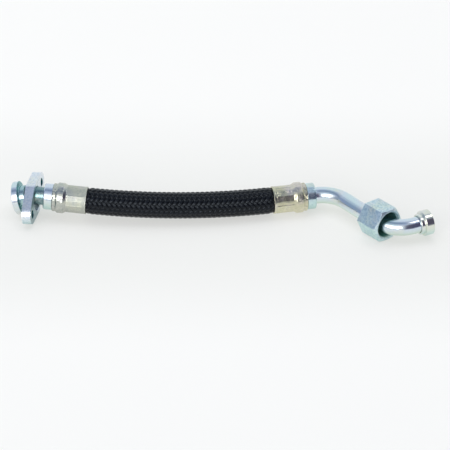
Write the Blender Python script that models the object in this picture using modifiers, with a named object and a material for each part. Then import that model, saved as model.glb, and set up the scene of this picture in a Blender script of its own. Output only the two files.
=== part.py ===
"""Turbo oil return line: a braided hose crimped between two nipples.

A sealing head with a loose two-bolt flange is at the left end, and a bent tube with a loose union
nut and an end nipple is at the right. Metres, +Z up, floor at z = 0, lying as it comes to rest.
"""

import math

import bmesh
import bpy
from mathutils import Matrix, Vector

LINE = "turbo_oil_return_line"

# Clearance between pieces that touch on the real line
GAP = 0.0003

# Where the middle point of a turned round corner lies, and the angle that counts as an edge
ROUND_MIDDLE = 0.3
SHARP_ANGLE = 35.0

# Route from the sealing head at the left to the end nipple at the right, in degrees and metres
HEAD_HEADING = -8.5
HEAD_PITCH = 14.7
LEFT_FERRULE_HEADING = -7.2
RIGHT_FERRULE_HEADING = 11.5
TUBE_HEADING = -49.5
END_HEADING = 26.5
NECK_BEND_STATION = 0.0195
NECK_BEND_RADIUS = 0.030
NECK_END_RUN = 0.0038
HOSE_FREE_LENGTH = 0.201
TUBE_FIRST_RUN = 0.002
FIRST_BEND_RADIUS = 0.032
TUBE_MIDDLE_RUN = 0.0555
SECOND_BEND_RADIUS = 0.031
TUBE_LAST_RUN = 0.005

# Sealing head
HEAD_DIAMETER = 0.036
HEAD_DISC = 0.0071
HEAD_CHAMFER = 0.0011
HUB_DIAMETER = 0.0254
HUB_LENGTH = 0.0063
HUB_CHAMFER = 0.0006
HEAD_SOCKET_DEPTH = 0.0085
HEAD_SEGMENTS = 36

# Neck tube
NECK_DIAMETER = 0.0195
NECK_WALL = 0.00175

# Mounting flange
FLANGE_THICKNESS = 0.010
FLANGE_BORE = 0.0266
FLANGE_STATION = 0.0194
FLANGE_HEADING = -12.0
FLANGE_PITCH = 5.6
FLANGE_ROLL = 12.5
BOLT_HOLE = 0.009
BOLT_PITCH = 0.0495
LOBE_RADIUS = 0.0107
WAIST_HALF_WIDTH = 0.0185
WAIST_ROUND = 0.006
FLANGE_EDGE_BREAK = 0.0004
EDGE_BREAK_ANGLE = 40.0
HOLE_CHAMFER = 0.0005
LOBE_STEPS = 9
WAIST_STEPS = 3
BORE_SEGMENTS = 32
FLANGE_PROBES = 6
HOLE_SEGMENTS = 16

# Hose nipples
COLLAR_DIAMETER = 0.0284
COLLAR_LENGTH = 0.0095
COLLAR_SHOULDER = 0.0012
NIPPLE_BORE = 0.0134
TUBE_SOCKET_DEPTH = 0.008
LAND_DIAMETER = 0.0234
LAND_LENGTH = 0.0027
GROOVE_DIAMETER = 0.021
BARB_CREST = 0.0184
BARB_ROOT = 0.0168
BARB_PITCH = 0.0072
BARB_BACK = 0.0011
BARB_COUNT = 4
NIPPLE_SEGMENTS = 20

# Ferrules
FERRULE_LENGTH = 0.037
FERRULE_WALL = 0.0012
FERRULE_END_WALL = 0.0014
CRIMP_DIAMETER = 0.0293
CRIMP_RIDGE = 0.00035
CRIMP_DIES = 8
LIP_DIAMETER = 0.0298
LIP_LENGTH = 0.0018
BEAD_DIAMETER = 0.033
BEAD_LENGTH = 0.007
BEAD_RISE = 0.0016
BEAD_RAMP = 0.0032
END_RIM_DIAMETER = 0.0304
END_RIM_LENGTH = 0.0034
RIM_DENT = 0.0004
DIE_STEPS = 4

# Hose
LINER_BORE = 0.019
LINER_DIAMETER = 0.0254
BRAID_DIAMETER = 0.0288
BRAID_INNER_DIAMETER = 0.026
WEAVE_DEPTH = 0.0006
WEAVE_PITCH = 0.0052
HOSE_RAMP = 0.006
HOSE_STEP = 0.027
WEAVE_BANDS = 14
LINER_COLUMNS = 16

# Bent tube
TUBE_DIAMETER = 0.018
TUBE_WALL = 0.0015
BEND_STEP = 9.0
TUBE_BEVEL_RESOLUTION = 8

# Union nut
NUT_ACROSS_FLATS = 0.0355
NUT_LENGTH = 0.028
NUT_REAR_LENGTH = 0.0046
NUT_CAVITY = 0.0284
NUT_MOUTH = 0.0314
NUT_FRONT_FACE = 0.0346
NUT_CHAMFER_ANGLE = 30.0
NUT_REAR_BEFORE_BEND = 0.0136
NUT_YAW = 2.5
NUT_ROLL = -6.0
NUT_SEGMENTS = 32

# End nipple
BAND_DIAMETER = 0.0224
BAND_LENGTH = 0.0044
BAND_ROUND = 0.0009
END_COLLAR_DIAMETER = 0.0277
END_COLLAR_LENGTH = 0.0095
END_SHOULDER = 0.001
END_CHAMFER = 0.0004
END_SOCKET_DEPTH = 0.0095
END_SEGMENTS = 32

# Sizes worked out from the ones above
HEAD_LENGTH = HEAD_DISC + HUB_LENGTH
HEAD_SOCKET_FLOOR = HEAD_LENGTH - HEAD_SOCKET_DEPTH
CRIMP_BORE = CRIMP_DIAMETER - 2 * FERRULE_WALL
BRAID_CRIMPED_DIAMETER = CRIMP_BORE - 2 * GAP
BRAID_WALL = (BRAID_DIAMETER - WEAVE_DEPTH - BRAID_INNER_DIAMETER) / 2
BRAID_CRIMPED_INNER = BRAID_CRIMPED_DIAMETER - 2 * BRAID_WALL
LINER_CRIMPED_DIAMETER = BRAID_CRIMPED_INNER - 2 * GAP
WEAVE_COLUMNS = 2 * WEAVE_BANDS
GROOVE_LENGTH = FERRULE_END_WALL + 2 * GAP
HOSE_INSERTION = FERRULE_LENGTH - GROOVE_LENGTH - LAND_LENGTH - GAP
NIPPLE_LENGTH = COLLAR_LENGTH + GROOVE_LENGTH + LAND_LENGTH + BARB_COUNT * BARB_PITCH
NUT_CORNER = NUT_ACROSS_FLATS / 2 / math.cos(math.pi / 6)
NUT_REAR_BORE = BAND_DIAMETER + 2 * GAP
NUT_SLACK = (NUT_REAR_BORE - TUBE_DIAMETER) / 2 - GAP
NUT_STANDING_HEIGHT = NUT_CORNER * math.cos(math.pi / 6 - math.radians(abs(NUT_ROLL)))
TUBE_AXIS_HEIGHT = max(BEAD_DIAMETER / 2, NUT_STANDING_HEIGHT - NUT_SLACK)
NUT_AXIS_HEIGHT = max(NUT_STANDING_HEIGHT, TUBE_AXIS_HEIGHT - NUT_SLACK)
UP = Vector((0, 0, 1))


def direction(heading, pitch=0.0):
    """Unit vector at a heading from +X and a pitch above the floor, both in degrees."""
    heading = math.radians(heading)
    pitch = math.radians(pitch)
    flat = math.cos(pitch)
    return Vector((flat * math.cos(heading), flat * math.sin(heading), math.sin(pitch)))


def frame(point, along, roll=0.0):
    """Matrix at a point with local Z along the line and local X up, turned by roll degrees."""
    side = along.cross(UP).normalized()
    top = side.cross(along)
    turned_x = top * math.cos(math.radians(roll)) + side * math.sin(math.radians(roll))
    turned_y = along.cross(turned_x)
    axes = Matrix((turned_x, turned_y, along)).transposed()
    return Matrix.Translation(point) @ axes.to_4x4()


class Route:
    """Straight runs and round bends joined end to end, measured along the centreline."""

    def __init__(self, start, along):
        self.end = start
        self.along = along
        self.length = 0.0
        self.bends = []
        self.pieces = []

    def straight(self, length):
        self.pieces.append((self.length, self.end, self.along, None, 0.0))
        self.end = self.end + self.along * length
        self.length += length
        return self.length

    def bend(self, along, radius=0.0, length=0.0):
        angle = self.along.angle(along)
        if not radius:
            radius = length / angle
        inward = (along - self.along * math.cos(angle)) / math.sin(angle)
        self.pieces.append((self.length, self.end, self.along, inward, radius))
        self.bends.append((self.length, self.length + radius * angle, angle))
        self.end, self.along = self.at(self.length + radius * angle)
        self.length += radius * angle
        return self.length

    def at(self, station):
        """Centre and direction of the line at a station."""
        begin, start, along, inward, radius = [
            piece for piece in self.pieces if piece[0] <= station or piece is self.pieces[0]
        ][-1]
        if inward is None:
            return start + along * (station - begin), along
        angle = (station - begin) / radius
        move = along * math.sin(angle) + inward * (1 - math.cos(angle))
        return start + move * radius, along * math.cos(angle) + inward * math.sin(angle)

    def frame(self, station):
        return frame(*self.at(station))

    def bend_stations(self, first, last):
        """The two end stations, with those between them that a bend needs to look round."""
        stations = [first]
        for begin, end, angle in self.bends:
            count = math.ceil(math.degrees(angle) / BEND_STEP)
            stations += [begin + (end - begin) * k / count for k in range(count + 1)]
        stations.append(last)
        return [first] + sorted(s for s in stations[1:-1] if first < s < last) + [last]


def head_to_hose(left_pitch):
    """Route from the head's sealing face to the left ferrule's mouth, with its stations."""
    pitch = math.radians(HEAD_PITCH)
    height = HEAD_DIAMETER / 2 * math.cos(pitch) - HEAD_CHAMFER * math.sin(pitch)
    route = Route(UP * height, direction(HEAD_HEADING, HEAD_PITCH))
    route.straight(NECK_BEND_STATION)
    route.bend(direction(LEFT_FERRULE_HEADING, left_pitch), radius=NECK_BEND_RADIUS)
    left_collar = route.straight(NECK_END_RUN)
    left_mouth = route.straight(COLLAR_LENGTH + FERRULE_LENGTH)
    right_mouth = route.bend(direction(RIGHT_FERRULE_HEADING), length=HOSE_FREE_LENGTH)
    return route, left_collar, left_mouth, right_mouth


def settled_pitch():
    """Pitch of the left ferrule that brings the right one level at the height of the tube's axis."""
    low, high = -40.0, 40.0
    while high - low > 1e-6:
        middle = (low + high) / 2
        route = head_to_hose(middle)[0]
        if route.end.z < TUBE_AXIS_HEIGHT:
            low = middle
        else:
            high = middle
    return low


def full_route():
    """The whole route, with the stations of its pieces in a dictionary."""
    route, left_collar, left_mouth, right_mouth = head_to_hose(settled_pitch())
    right_collar_end = route.straight(FERRULE_LENGTH + COLLAR_LENGTH)
    route.straight(TUBE_FIRST_RUN)
    route.bend(direction(TUBE_HEADING), radius=FIRST_BEND_RADIUS)
    second_bend = route.straight(TUBE_MIDDLE_RUN)
    route.bend(direction(END_HEADING), radius=SECOND_BEND_RADIUS)
    end_nipple = route.straight(TUBE_LAST_RUN)
    route.straight(BAND_LENGTH + END_COLLAR_LENGTH)
    return route, {
        "left_collar": left_collar,
        "left_mouth": left_mouth,
        "right_mouth": right_mouth,
        "right_collar_end": right_collar_end,
        "second_bend": second_bend,
        "end_nipple": end_nipple,
    }


def clear_scene():
    for old in list(bpy.data.objects):
        bpy.data.objects.remove(old, do_unlink=True)


def collection(name):
    made = bpy.data.collections.new(name)
    bpy.context.scene.collection.children.link(made)
    return made


def metal(name, colour, roughness, metallic=1.0):
    made = bpy.data.materials.new(name)
    made.use_nodes = True
    shader = made.node_tree.nodes["Principled BSDF"]
    shader.inputs["Base Color"].default_value = (*colour, 1.0)
    shader.inputs["Roughness"].default_value = roughness
    shader.inputs["Metallic"].default_value = metallic
    return made


def finished(source, name, group, material):
    """A mesh object with the source's evaluated shape, welded and shaded round; the source goes."""
    bpy.context.view_layer.update()
    graph = bpy.context.evaluated_depsgraph_get()
    mesh = bpy.data.meshes.new_from_object(source.evaluated_get(graph))
    place = source.matrix_world.copy()
    bpy.data.objects.remove(source, do_unlink=True)
    weld(mesh)
    mesh.materials.clear()
    mesh.materials.append(material)
    mesh.shade_smooth()
    mesh.set_sharp_from_angle(angle=math.radians(SHARP_ANGLE))
    made = bpy.data.objects.new(name, mesh)
    made.matrix_world = place
    group.objects.link(made)
    return made


def weld(mesh):
    """Joins points that lie on each other, such as a curve's loose caps and its sides."""
    shape = bmesh.new()
    shape.from_mesh(mesh)
    bmesh.ops.remove_doubles(shape, verts=shape.verts, dist=GAP / 100)
    bmesh.ops.recalc_face_normals(shape, faces=shape.faces)
    shape.to_mesh(mesh)
    shape.free()


def turned(name, outer, inner, place, segments, group):
    """A profile turned about local Z: outer points run top to bottom, inner points bottom to top."""
    points = [(radius, 0, height) for radius, height in outer + inner]
    edges = [(k, (k + 1) % len(points)) for k in range(len(points))]
    if not inner:
        edges.pop()
    mesh = bpy.data.meshes.new(name)
    mesh.from_pydata(points, edges, [])
    made = bpy.data.objects.new(name, mesh)
    made.matrix_world = place
    group.objects.link(made)
    screw = made.modifiers.new("Turn", "SCREW")
    screw.steps = segments
    screw.render_steps = segments
    screw.use_merge_vertices = True
    screw.merge_threshold = GAP / 100
    return made


def ring(place, radii):
    """Points round a frame's local Z, the first at the top."""
    count = len(radii)
    points = []
    for k, radius in enumerate(radii):
        angle = 2 * math.pi * k / count
        points.append(place @ Vector((radius * math.cos(angle), radius * math.sin(angle), 0)))
    return points


def sleeve(name, outer, inner, group, material, high_first=None):
    """A closed sleeve between two stacks of rings, which are joined to each other at both ends.

    high_first tells which quads of a weave are split from their first corner.
    """
    rings = outer + inner[::-1]
    count = len(rings[0])
    points = [point for each in rings for point in each]
    faces = []
    for row in range(len(rings)):
        below = (row + 1) % len(rings)
        for k in range(count):
            after = (k + 1) % count
            corners = [row * count + k, below * count + k, below * count + after, row * count + after]
            if high_first is None or row >= len(outer) - 1:
                faces.append(corners)
                continue
            if high_first(row, k):
                corners = corners[1:] + corners[:1]
            faces.append((corners[0], corners[1], corners[2]))
            faces.append((corners[0], corners[2], corners[3]))
    mesh = bpy.data.meshes.new(name)
    mesh.from_pydata(points, [], faces)
    made = bpy.data.objects.new(name, mesh)
    group.objects.link(made)
    return finished(made, name, group, material)


def pipe(name, route, first, last, diameter, wall, group, material):
    """A tube along the route: an open round curve, thickened inwards."""
    curve = bpy.data.curves.new(name, "CURVE")
    curve.dimensions = "3D"
    curve.bevel_depth = diameter / 2
    curve.bevel_resolution = TUBE_BEVEL_RESOLUTION
    stations = route.bend_stations(first, last)
    spline = curve.splines.new("POLY")
    spline.points.add(len(stations) - 1)
    for point, station in zip(spline.points, stations):
        point.co = (*route.at(station)[0], 1.0)
    made = bpy.data.objects.new(name, curve)
    group.objects.link(made)
    thicken = made.modifiers.new("Wall", "SOLIDIFY")
    thicken.thickness = wall
    thicken.offset = -1
    thicken.use_even_offset = True
    return finished(made, name, group, material)


def cutter(made):
    made.hide_render = True
    made.display_type = "WIRE"
    return made


def boolean(target, tool, operation):
    step = target.modifiers.new(tool.name, "BOOLEAN")
    step.operation = operation
    step.object = tool


def sealing_head(route, group, material):
    radius = HEAD_DIAMETER / 2
    hub = HUB_DIAMETER / 2
    bore = NECK_DIAMETER / 2 - NECK_WALL
    socket = NECK_DIAMETER / 2 + GAP
    outer = [
        (hub - HUB_CHAMFER, HEAD_LENGTH),
        (hub, HEAD_LENGTH - HUB_CHAMFER),
        (hub, HEAD_DISC),
        (radius - HUB_CHAMFER / 2, HEAD_DISC),
        (radius, HEAD_DISC - HUB_CHAMFER / 2),
        (radius, HEAD_CHAMFER),
        (radius - HEAD_CHAMFER, 0.0),
    ]
    inner = [
        (bore, 0.0),
        (bore, HEAD_SOCKET_FLOOR),
        (socket, HEAD_SOCKET_FLOOR),
        (socket, HEAD_LENGTH),
    ]
    made = turned("flange_head", outer, inner, route.frame(0.0), HEAD_SEGMENTS, group)
    return finished(made, "flange_head", group, material)


def flange_outline():
    """The flange's outline: a diamond with round lobes at the bolts and round waist corners."""
    reach = BOLT_PITCH / 2
    waist = Vector((0, WAIST_HALF_WIDTH))
    away = math.hypot(reach, WAIST_HALF_WIDTH)
    slope = math.atan2(WAIST_HALF_WIDTH, reach) - math.asin(LOBE_RADIUS / away)
    normal = math.pi / 2 - slope
    points = []
    for k in range(LOBE_STEPS + 1):
        angle = -normal + 2 * normal * k / LOBE_STEPS
        points.append((reach + LOBE_RADIUS * math.cos(angle), LOBE_RADIUS * math.sin(angle)))
    centre = waist.y - WAIST_ROUND / math.cos(slope)
    for k in range(WAIST_STEPS + 1):
        angle = math.pi / 2 - slope + 2 * slope * k / WAIST_STEPS
        points.append((WAIST_ROUND * math.cos(angle), centre + WAIST_ROUND * math.sin(angle)))
    return points + [(-x, -y) for x, y in points]


def hole_cutter(name, diameter, place, segments, cutters):
    """A hole through the flange with a chamfer at both faces, centred on local zero."""
    radius = diameter / 2
    half = FLANGE_THICKNESS / 2
    wide = radius + 2 * HOLE_CHAMFER
    ends = half + HOLE_CHAMFER
    profile = [
        (0.0, ends),
        (wide, ends),
        (radius, half - HOLE_CHAMFER),
        (radius, HOLE_CHAMFER - half),
        (wide, -ends),
        (0.0, -ends),
    ]
    return cutter(turned(name, profile, [], place, segments, cutters))


def flange_place(route):
    """The flange's frame, lowered until the top of its bore lies on the bending neck tube."""
    axis = direction(FLANGE_HEADING, FLANGE_PITCH)
    level = frame(route.at(FLANGE_STATION)[0], axis)
    hangs = []
    for k in range(-FLANGE_PROBES, FLANGE_PROBES + 1):
        centre, along = route.at(FLANGE_STATION + k * FLANGE_THICKNESS / 2 / FLANGE_PROBES)
        spot = level.inverted() @ centre
        reach = FLANGE_BORE / 2 - GAP - NECK_DIAMETER / 2 / along.dot(axis)
        hangs.append(math.sqrt(reach**2 - spot.y**2) - spot.x)
    return frame(level @ Vector((-min(hangs), 0, 0)), axis, FLANGE_ROLL)


def mounting_flange(route, group, cutters, material):
    """The loose flange, hanging on the neck tube by the top of its bore."""
    place = flange_place(route)
    curve = bpy.data.curves.new("flange_outline", "CURVE")
    curve.dimensions = "2D"
    curve.fill_mode = "BOTH"
    curve.extrude = FLANGE_THICKNESS / 2
    outline = flange_outline()
    spline = curve.splines.new("POLY")
    spline.points.add(len(outline) - 1)
    spline.use_cyclic_u = True
    for point, (x, y) in zip(spline.points, outline):
        point.co = (-y, x, 0.0, 1.0)
    plate = bpy.data.objects.new("flange_plate", curve)
    plate.matrix_world = place
    group.objects.link(plate)
    blank = finished(plate, "mounting_flange_blank", group, material)
    edge = blank.modifiers.new("Edge break", "BEVEL")
    edge.width = FLANGE_EDGE_BREAK
    edge.segments = 1
    edge.angle_limit = math.radians(EDGE_BREAK_ANGLE)
    bore = hole_cutter("flange_bore_cutter", FLANGE_BORE, place, BORE_SEGMENTS, cutters)
    boolean(blank, bore, "DIFFERENCE")
    for side, name in ((1, "far_bolt_hole_cutter"), (-1, "near_bolt_hole_cutter")):
        spot = place @ Matrix.Translation((0, side * BOLT_PITCH / 2, 0))
        hole = hole_cutter(name, BOLT_HOLE, spot, HOLE_SEGMENTS, cutters)
        boolean(blank, hole, "DIFFERENCE")
    return finished(blank, "mounting_flange", group, material)


def hose_nipple(name, place, tube_diameter, group, material):
    """Collar with a tube socket below, and a groove, a land and barbs above it."""
    collar = COLLAR_DIAMETER / 2
    crest = BARB_CREST / 2
    root = BARB_ROOT / 2
    land_bottom = COLLAR_LENGTH + GROOVE_LENGTH
    land_top = land_bottom + LAND_LENGTH
    outer = []
    for k in reversed(range(BARB_COUNT)):
        outer.append((root, land_top + (k + 1) * BARB_PITCH))
        outer.append((crest, land_top + k * BARB_PITCH + BARB_BACK))
    outer += [
        (root, land_top),
        (LAND_DIAMETER / 2, land_top),
        (LAND_DIAMETER / 2, land_bottom),
        (GROOVE_DIAMETER / 2, land_bottom),
        (GROOVE_DIAMETER / 2, COLLAR_LENGTH),
        (collar, COLLAR_LENGTH),
        (collar, COLLAR_SHOULDER),
        (collar - COLLAR_SHOULDER * ROUND_MIDDLE, COLLAR_SHOULDER * ROUND_MIDDLE),
        (collar - COLLAR_SHOULDER, 0.0),
    ]
    socket = tube_diameter / 2 + GAP
    bore = NIPPLE_BORE / 2
    inner = [
        (socket, 0.0),
        (socket, TUBE_SOCKET_DEPTH),
        (bore, TUBE_SOCKET_DEPTH),
        (bore, NIPPLE_LENGTH),
    ]
    made = turned(name, outer, inner, place, NIPPLE_SEGMENTS, group)
    return finished(made, name, group, material)


def ferrule(name, place, group, material):
    """A crimped ferrule, its local Z running from the collar to the hose."""
    rim = END_RIM_DIAMETER / 2
    bead = BEAD_DIAMETER / 2
    crimp = CRIMP_DIAMETER / 2
    lip = LIP_DIAMETER / 2
    edge = FERRULE_WALL / 3
    bead_start = END_RIM_LENGTH + BEAD_RISE
    bead_end = bead_start + BEAD_LENGTH
    crimp_start = bead_end + BEAD_RAMP
    lip_start = FERRULE_LENGTH - LIP_LENGTH
    outer = [
        (rim - edge, GAP, 0.0),
        (rim, GAP + edge, 0.0),
        (rim, END_RIM_LENGTH, -RIM_DENT),
        (rim - edge, END_RIM_LENGTH + edge, 0.0),
        (bead - edge, bead_start, 0.0),
        (bead, bead_start + edge, 0.0),
        (bead, bead_end - edge, 0.0),
        (bead - edge, bead_end, 0.0),
        (crimp, crimp_start, CRIMP_RIDGE),
        (crimp, lip_start - edge, CRIMP_RIDGE),
        (lip, lip_start, 0.0),
        (lip, FERRULE_LENGTH, 0.0),
    ]
    hole = GROOVE_DIAMETER / 2 + GAP
    floor = GAP + FERRULE_END_WALL
    inner = [
        (hole, GAP),
        (hole, floor),
        (rim - edge - FERRULE_WALL, floor),
        (rim - edge - FERRULE_WALL, END_RIM_LENGTH + edge),
        (bead - FERRULE_WALL, bead_start + edge),
        (bead - FERRULE_WALL, bead_end - edge),
        (CRIMP_BORE / 2, crimp_start),
        (CRIMP_BORE / 2, FERRULE_LENGTH),
    ]
    count = CRIMP_DIES * DIE_STEPS
    outer_rings = []
    for radius, height, ridge in outer:
        radii = [radius + ridge * (k % DIE_STEPS == 0) for k in range(count)]
        outer_rings.append(ring(place @ Matrix.Translation((0, 0, height)), radii))
    inner_rings = []
    for radius, height in inner:
        inner_rings.append(ring(place @ Matrix.Translation((0, 0, height)), [radius] * count))
    return sleeve(name, outer_rings, inner_rings, group, material)


def hose_stations(stations, step):
    """Stations along the hose: its ends inside the ferrules, their mouths and even steps between."""
    left, right = stations["left_mouth"], stations["right_mouth"]
    count = math.ceil((right - left - 2 * HOSE_RAMP) / step)
    even = (right - left - 2 * HOSE_RAMP) / count
    free = [left + HOSE_RAMP + k * even for k in range(count + 1)]
    return [left - HOSE_INSERTION, left + GAP] + free + [right - GAP, right + HOSE_INSERTION]


def hose_swell(stations, station):
    """0 where a ferrule squeezes the hose and 1 where it is free, rising out of each mouth."""
    inside = min(station - stations["left_mouth"], stations["right_mouth"] - station)
    share = min(max((inside - GAP) / (HOSE_RAMP - GAP), 0.0), 1.0)
    return math.sin(share * math.pi / 2)


def liner(route, stations, group, material):
    """The rubber tube inside the braid, squeezed onto the barbs at both ends."""
    outer = []
    inner = []
    for station in hose_stations(stations, HOSE_STEP):
        swell = hose_swell(stations, station)
        radius = LINER_CRIMPED_DIAMETER / 2 + swell * (LINER_DIAMETER - LINER_CRIMPED_DIAMETER) / 2
        place = route.frame(station)
        outer.append(ring(place, [radius] * LINER_COLUMNS))
        inner.append(ring(place, [LINER_BORE / 2] * LINER_COLUMNS))
    return sleeve("hose_liner", outer, inner, group, material)


def strand_on_top(row, column):
    """True where a strand passes over the others: bands two columns wide, staggered by a row."""
    return (row + column // 2) % 2 == 0


def braid(route, stations, group, material):
    """The braided cover: lengthwise bands of bumps, one for each strand that comes to the top."""
    outer = []
    for row, station in enumerate(hose_stations(stations, WEAVE_PITCH / 2)):
        swell = hose_swell(stations, station)
        grow = swell * (BRAID_DIAMETER - BRAID_CRIMPED_DIAMETER) / 2
        high = BRAID_CRIMPED_DIAMETER / 2 + grow
        low = high - WEAVE_DEPTH * swell
        radii = [high if strand_on_top(row, k) else low for k in range(WEAVE_COLUMNS)]
        outer.append(ring(route.frame(station), radii))
    inner = []
    for station in hose_stations(stations, HOSE_STEP):
        swell = hose_swell(stations, station)
        radius = BRAID_CRIMPED_INNER / 2 + swell * (BRAID_INNER_DIAMETER - BRAID_CRIMPED_INNER) / 2
        inner.append(ring(route.frame(station), [radius] * WEAVE_COLUMNS))
    return sleeve("hose_braid", outer, inner, group, material, strand_on_top)


def union_nut(route, stations, group, cutters, material):
    """The loose hexagon nut, standing on the floor round the tube, its mouth towards the end nipple."""
    rear = route.at(stations["second_bend"] - NUT_REAR_BEFORE_BEND)[0]
    rear.z = NUT_AXIS_HEIGHT
    place = frame(rear, direction(TUBE_HEADING + NUT_YAW), NUT_ROLL)
    wide = NUT_CORNER + GAP
    face = NUT_FRONT_FACE / 2
    drop = (wide - face) * math.tan(math.radians(NUT_CHAMFER_ANGLE))
    bore = NUT_REAR_BORE / 2
    cavity = NUT_CAVITY / 2
    mouth = NUT_MOUTH / 2
    outer = [(face, NUT_LENGTH), (wide, NUT_LENGTH - drop), (wide, 0.0)]
    inner = [
        (bore, 0.0),
        (bore, NUT_REAR_LENGTH),
        (cavity, NUT_REAR_LENGTH + cavity - bore),
        (cavity, NUT_LENGTH - (mouth - cavity)),
        (mouth, NUT_LENGTH),
    ]
    blank = turned("union_nut_blank", outer, inner, place, NUT_SEGMENTS, group)
    middle = place @ Matrix.Translation((0, 0, NUT_LENGTH / 2))
    bpy.ops.mesh.primitive_cylinder_add(vertices=6, radius=NUT_CORNER, depth=2 * NUT_LENGTH)
    hexagon = bpy.context.object
    hexagon.name = "union_nut_hexagon"
    hexagon.matrix_world = middle
    for holder in list(hexagon.users_collection):
        holder.objects.unlink(hexagon)
    cutters.objects.link(cutter(hexagon))
    boolean(blank, hexagon, "INTERSECT")
    return finished(blank, "union_nut", group, material)


def end_nipple(route, stations, group, material):
    """The nipple that takes the tube's end: a narrow band, then a collar with a flat end face."""
    band = BAND_DIAMETER / 2
    collar = END_COLLAR_DIAMETER / 2
    length = BAND_LENGTH + END_COLLAR_LENGTH
    outer = [
        (collar - END_CHAMFER, length),
        (collar, length - END_CHAMFER),
        (collar, BAND_LENGTH + END_SHOULDER),
        (collar - END_SHOULDER, BAND_LENGTH),
        (band, BAND_LENGTH),
        (band, BAND_ROUND),
        (band - BAND_ROUND * ROUND_MIDDLE, BAND_ROUND * ROUND_MIDDLE),
        (band - BAND_ROUND, 0.0),
    ]
    socket = TUBE_DIAMETER / 2 + GAP
    bore = TUBE_DIAMETER / 2 - TUBE_WALL
    inner = [(socket, 0.0), (socket, END_SOCKET_DEPTH), (bore, END_SOCKET_DEPTH), (bore, length)]
    place = route.frame(stations["end_nipple"])
    made = turned("end_nipple", outer, inner, place, END_SEGMENTS, group)
    return finished(made, "end_nipple", group, material)


def centre_on_origin(pieces):
    """Parents the pieces to an empty and moves it, so that the line stands centred on the floor."""
    bpy.context.view_layer.update()
    corners = [piece.matrix_world @ vertex.co for piece in pieces for vertex in piece.data.vertices]
    low = [min(corner[axis] for corner in corners) for axis in range(3)]
    high = [max(corner[axis] for corner in corners) for axis in range(3)]
    root = bpy.data.objects.new("line_placement", None)
    bpy.context.scene.collection.objects.link(root)
    for piece in pieces:
        piece.parent = root
    root.location = (-(low[0] + high[0]) / 2, -(low[1] + high[1]) / 2, -low[2])


def main():
    clear_scene()
    line = collection(LINE)
    cutters = collection("cutters")
    route, stations = full_route()
    zinc = metal("blue zinc on the tube", (0.56, 0.64, 0.74), 0.22)
    neck_zinc = metal("blue zinc on the neck", (0.58, 0.66, 0.75), 0.24)
    head_zinc = metal("blue zinc on the head", (0.60, 0.68, 0.76), 0.2)
    flange_zinc = metal("blue zinc on the flange", (0.55, 0.60, 0.74), 0.34)
    nut_zinc = metal("blue zinc on the nut", (0.42, 0.54, 0.66), 0.26)
    left_nipple_zinc = metal("blue zinc on the left nipple", (0.58, 0.67, 0.76), 0.22)
    right_nipple_zinc = metal("blue zinc on the right nipple", (0.54, 0.62, 0.70), 0.22)
    end_zinc = metal("clear zinc on the end nipple", (0.60, 0.60, 0.62), 0.22)
    left_steel = metal("grey zinc on the left ferrule", (0.52, 0.52, 0.48), 0.3)
    right_steel = metal("yellow zinc on the right ferrule", (0.52, 0.50, 0.36), 0.28)
    rubber = metal("black rubber of the liner", (0.02, 0.02, 0.02), 0.7, 0.0)
    textile = metal("black braid", (0.035, 0.037, 0.042), 0.5, 0.0)

    left_place = route.frame(stations["left_collar"])
    turned_back = Matrix.Rotation(math.pi, 4, "X")
    right_place = route.frame(stations["right_collar_end"]) @ turned_back
    neck_end = stations["left_collar"] + TUBE_SOCKET_DEPTH - GAP
    tube_start = stations["right_collar_end"] - TUBE_SOCKET_DEPTH + GAP
    tube_end = stations["end_nipple"] + END_SOCKET_DEPTH - GAP
    up_collar = Matrix.Translation((0, 0, COLLAR_LENGTH))
    neck_start = HEAD_SOCKET_FLOOR + GAP
    neck = pipe(
        "neck_tube", route, neck_start, neck_end, NECK_DIAMETER, NECK_WALL, line, neck_zinc
    )
    tube = pipe(
        "bent_tube", route, tube_start, tube_end, TUBE_DIAMETER, TUBE_WALL, line, zinc
    )
    centre_on_origin(
        [
            sealing_head(route, line, head_zinc),
            neck,
            mounting_flange(route, line, cutters, flange_zinc),
            hose_nipple("left_hose_nipple", left_place, NECK_DIAMETER, line, left_nipple_zinc),
            ferrule("left_ferrule", left_place @ up_collar, line, left_steel),
            liner(route, stations, line, rubber),
            braid(route, stations, line, textile),
            ferrule("right_ferrule", right_place @ up_collar, line, right_steel),
            hose_nipple("right_hose_nipple", right_place, TUBE_DIAMETER, line, right_nipple_zinc),
            tube,
            union_nut(route, stations, line, cutters, nut_zinc),
            end_nipple(route, stations, line, end_zinc),
        ]
    )


main()
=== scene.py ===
"""Turbo oil return line: the finished look of a braided hose with its steel fittings."""

import math

import bmesh
import bpy
from bpy.props import FloatProperty, FloatVectorProperty, IntProperty, PointerProperty
from bpy.types import NodeSocket, Operator, Panel, PropertyGroup
from mathutils import Matrix, Vector, noise


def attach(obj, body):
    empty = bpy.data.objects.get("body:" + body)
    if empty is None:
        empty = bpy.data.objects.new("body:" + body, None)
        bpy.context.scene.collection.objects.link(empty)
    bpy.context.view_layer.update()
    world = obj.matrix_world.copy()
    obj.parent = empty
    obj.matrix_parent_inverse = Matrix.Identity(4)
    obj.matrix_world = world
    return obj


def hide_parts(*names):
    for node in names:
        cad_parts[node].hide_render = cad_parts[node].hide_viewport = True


bl_info = {
    "name": "Turbo oil return line",
    "version": (1, 0, 0),
    "blender": (4, 5, 0),
    "location": "View3D > Sidebar > Oil line",
    "description": "Builds the finished pieces of a turbo oil return line over its packed model",
    "category": "Object",
}

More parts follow.
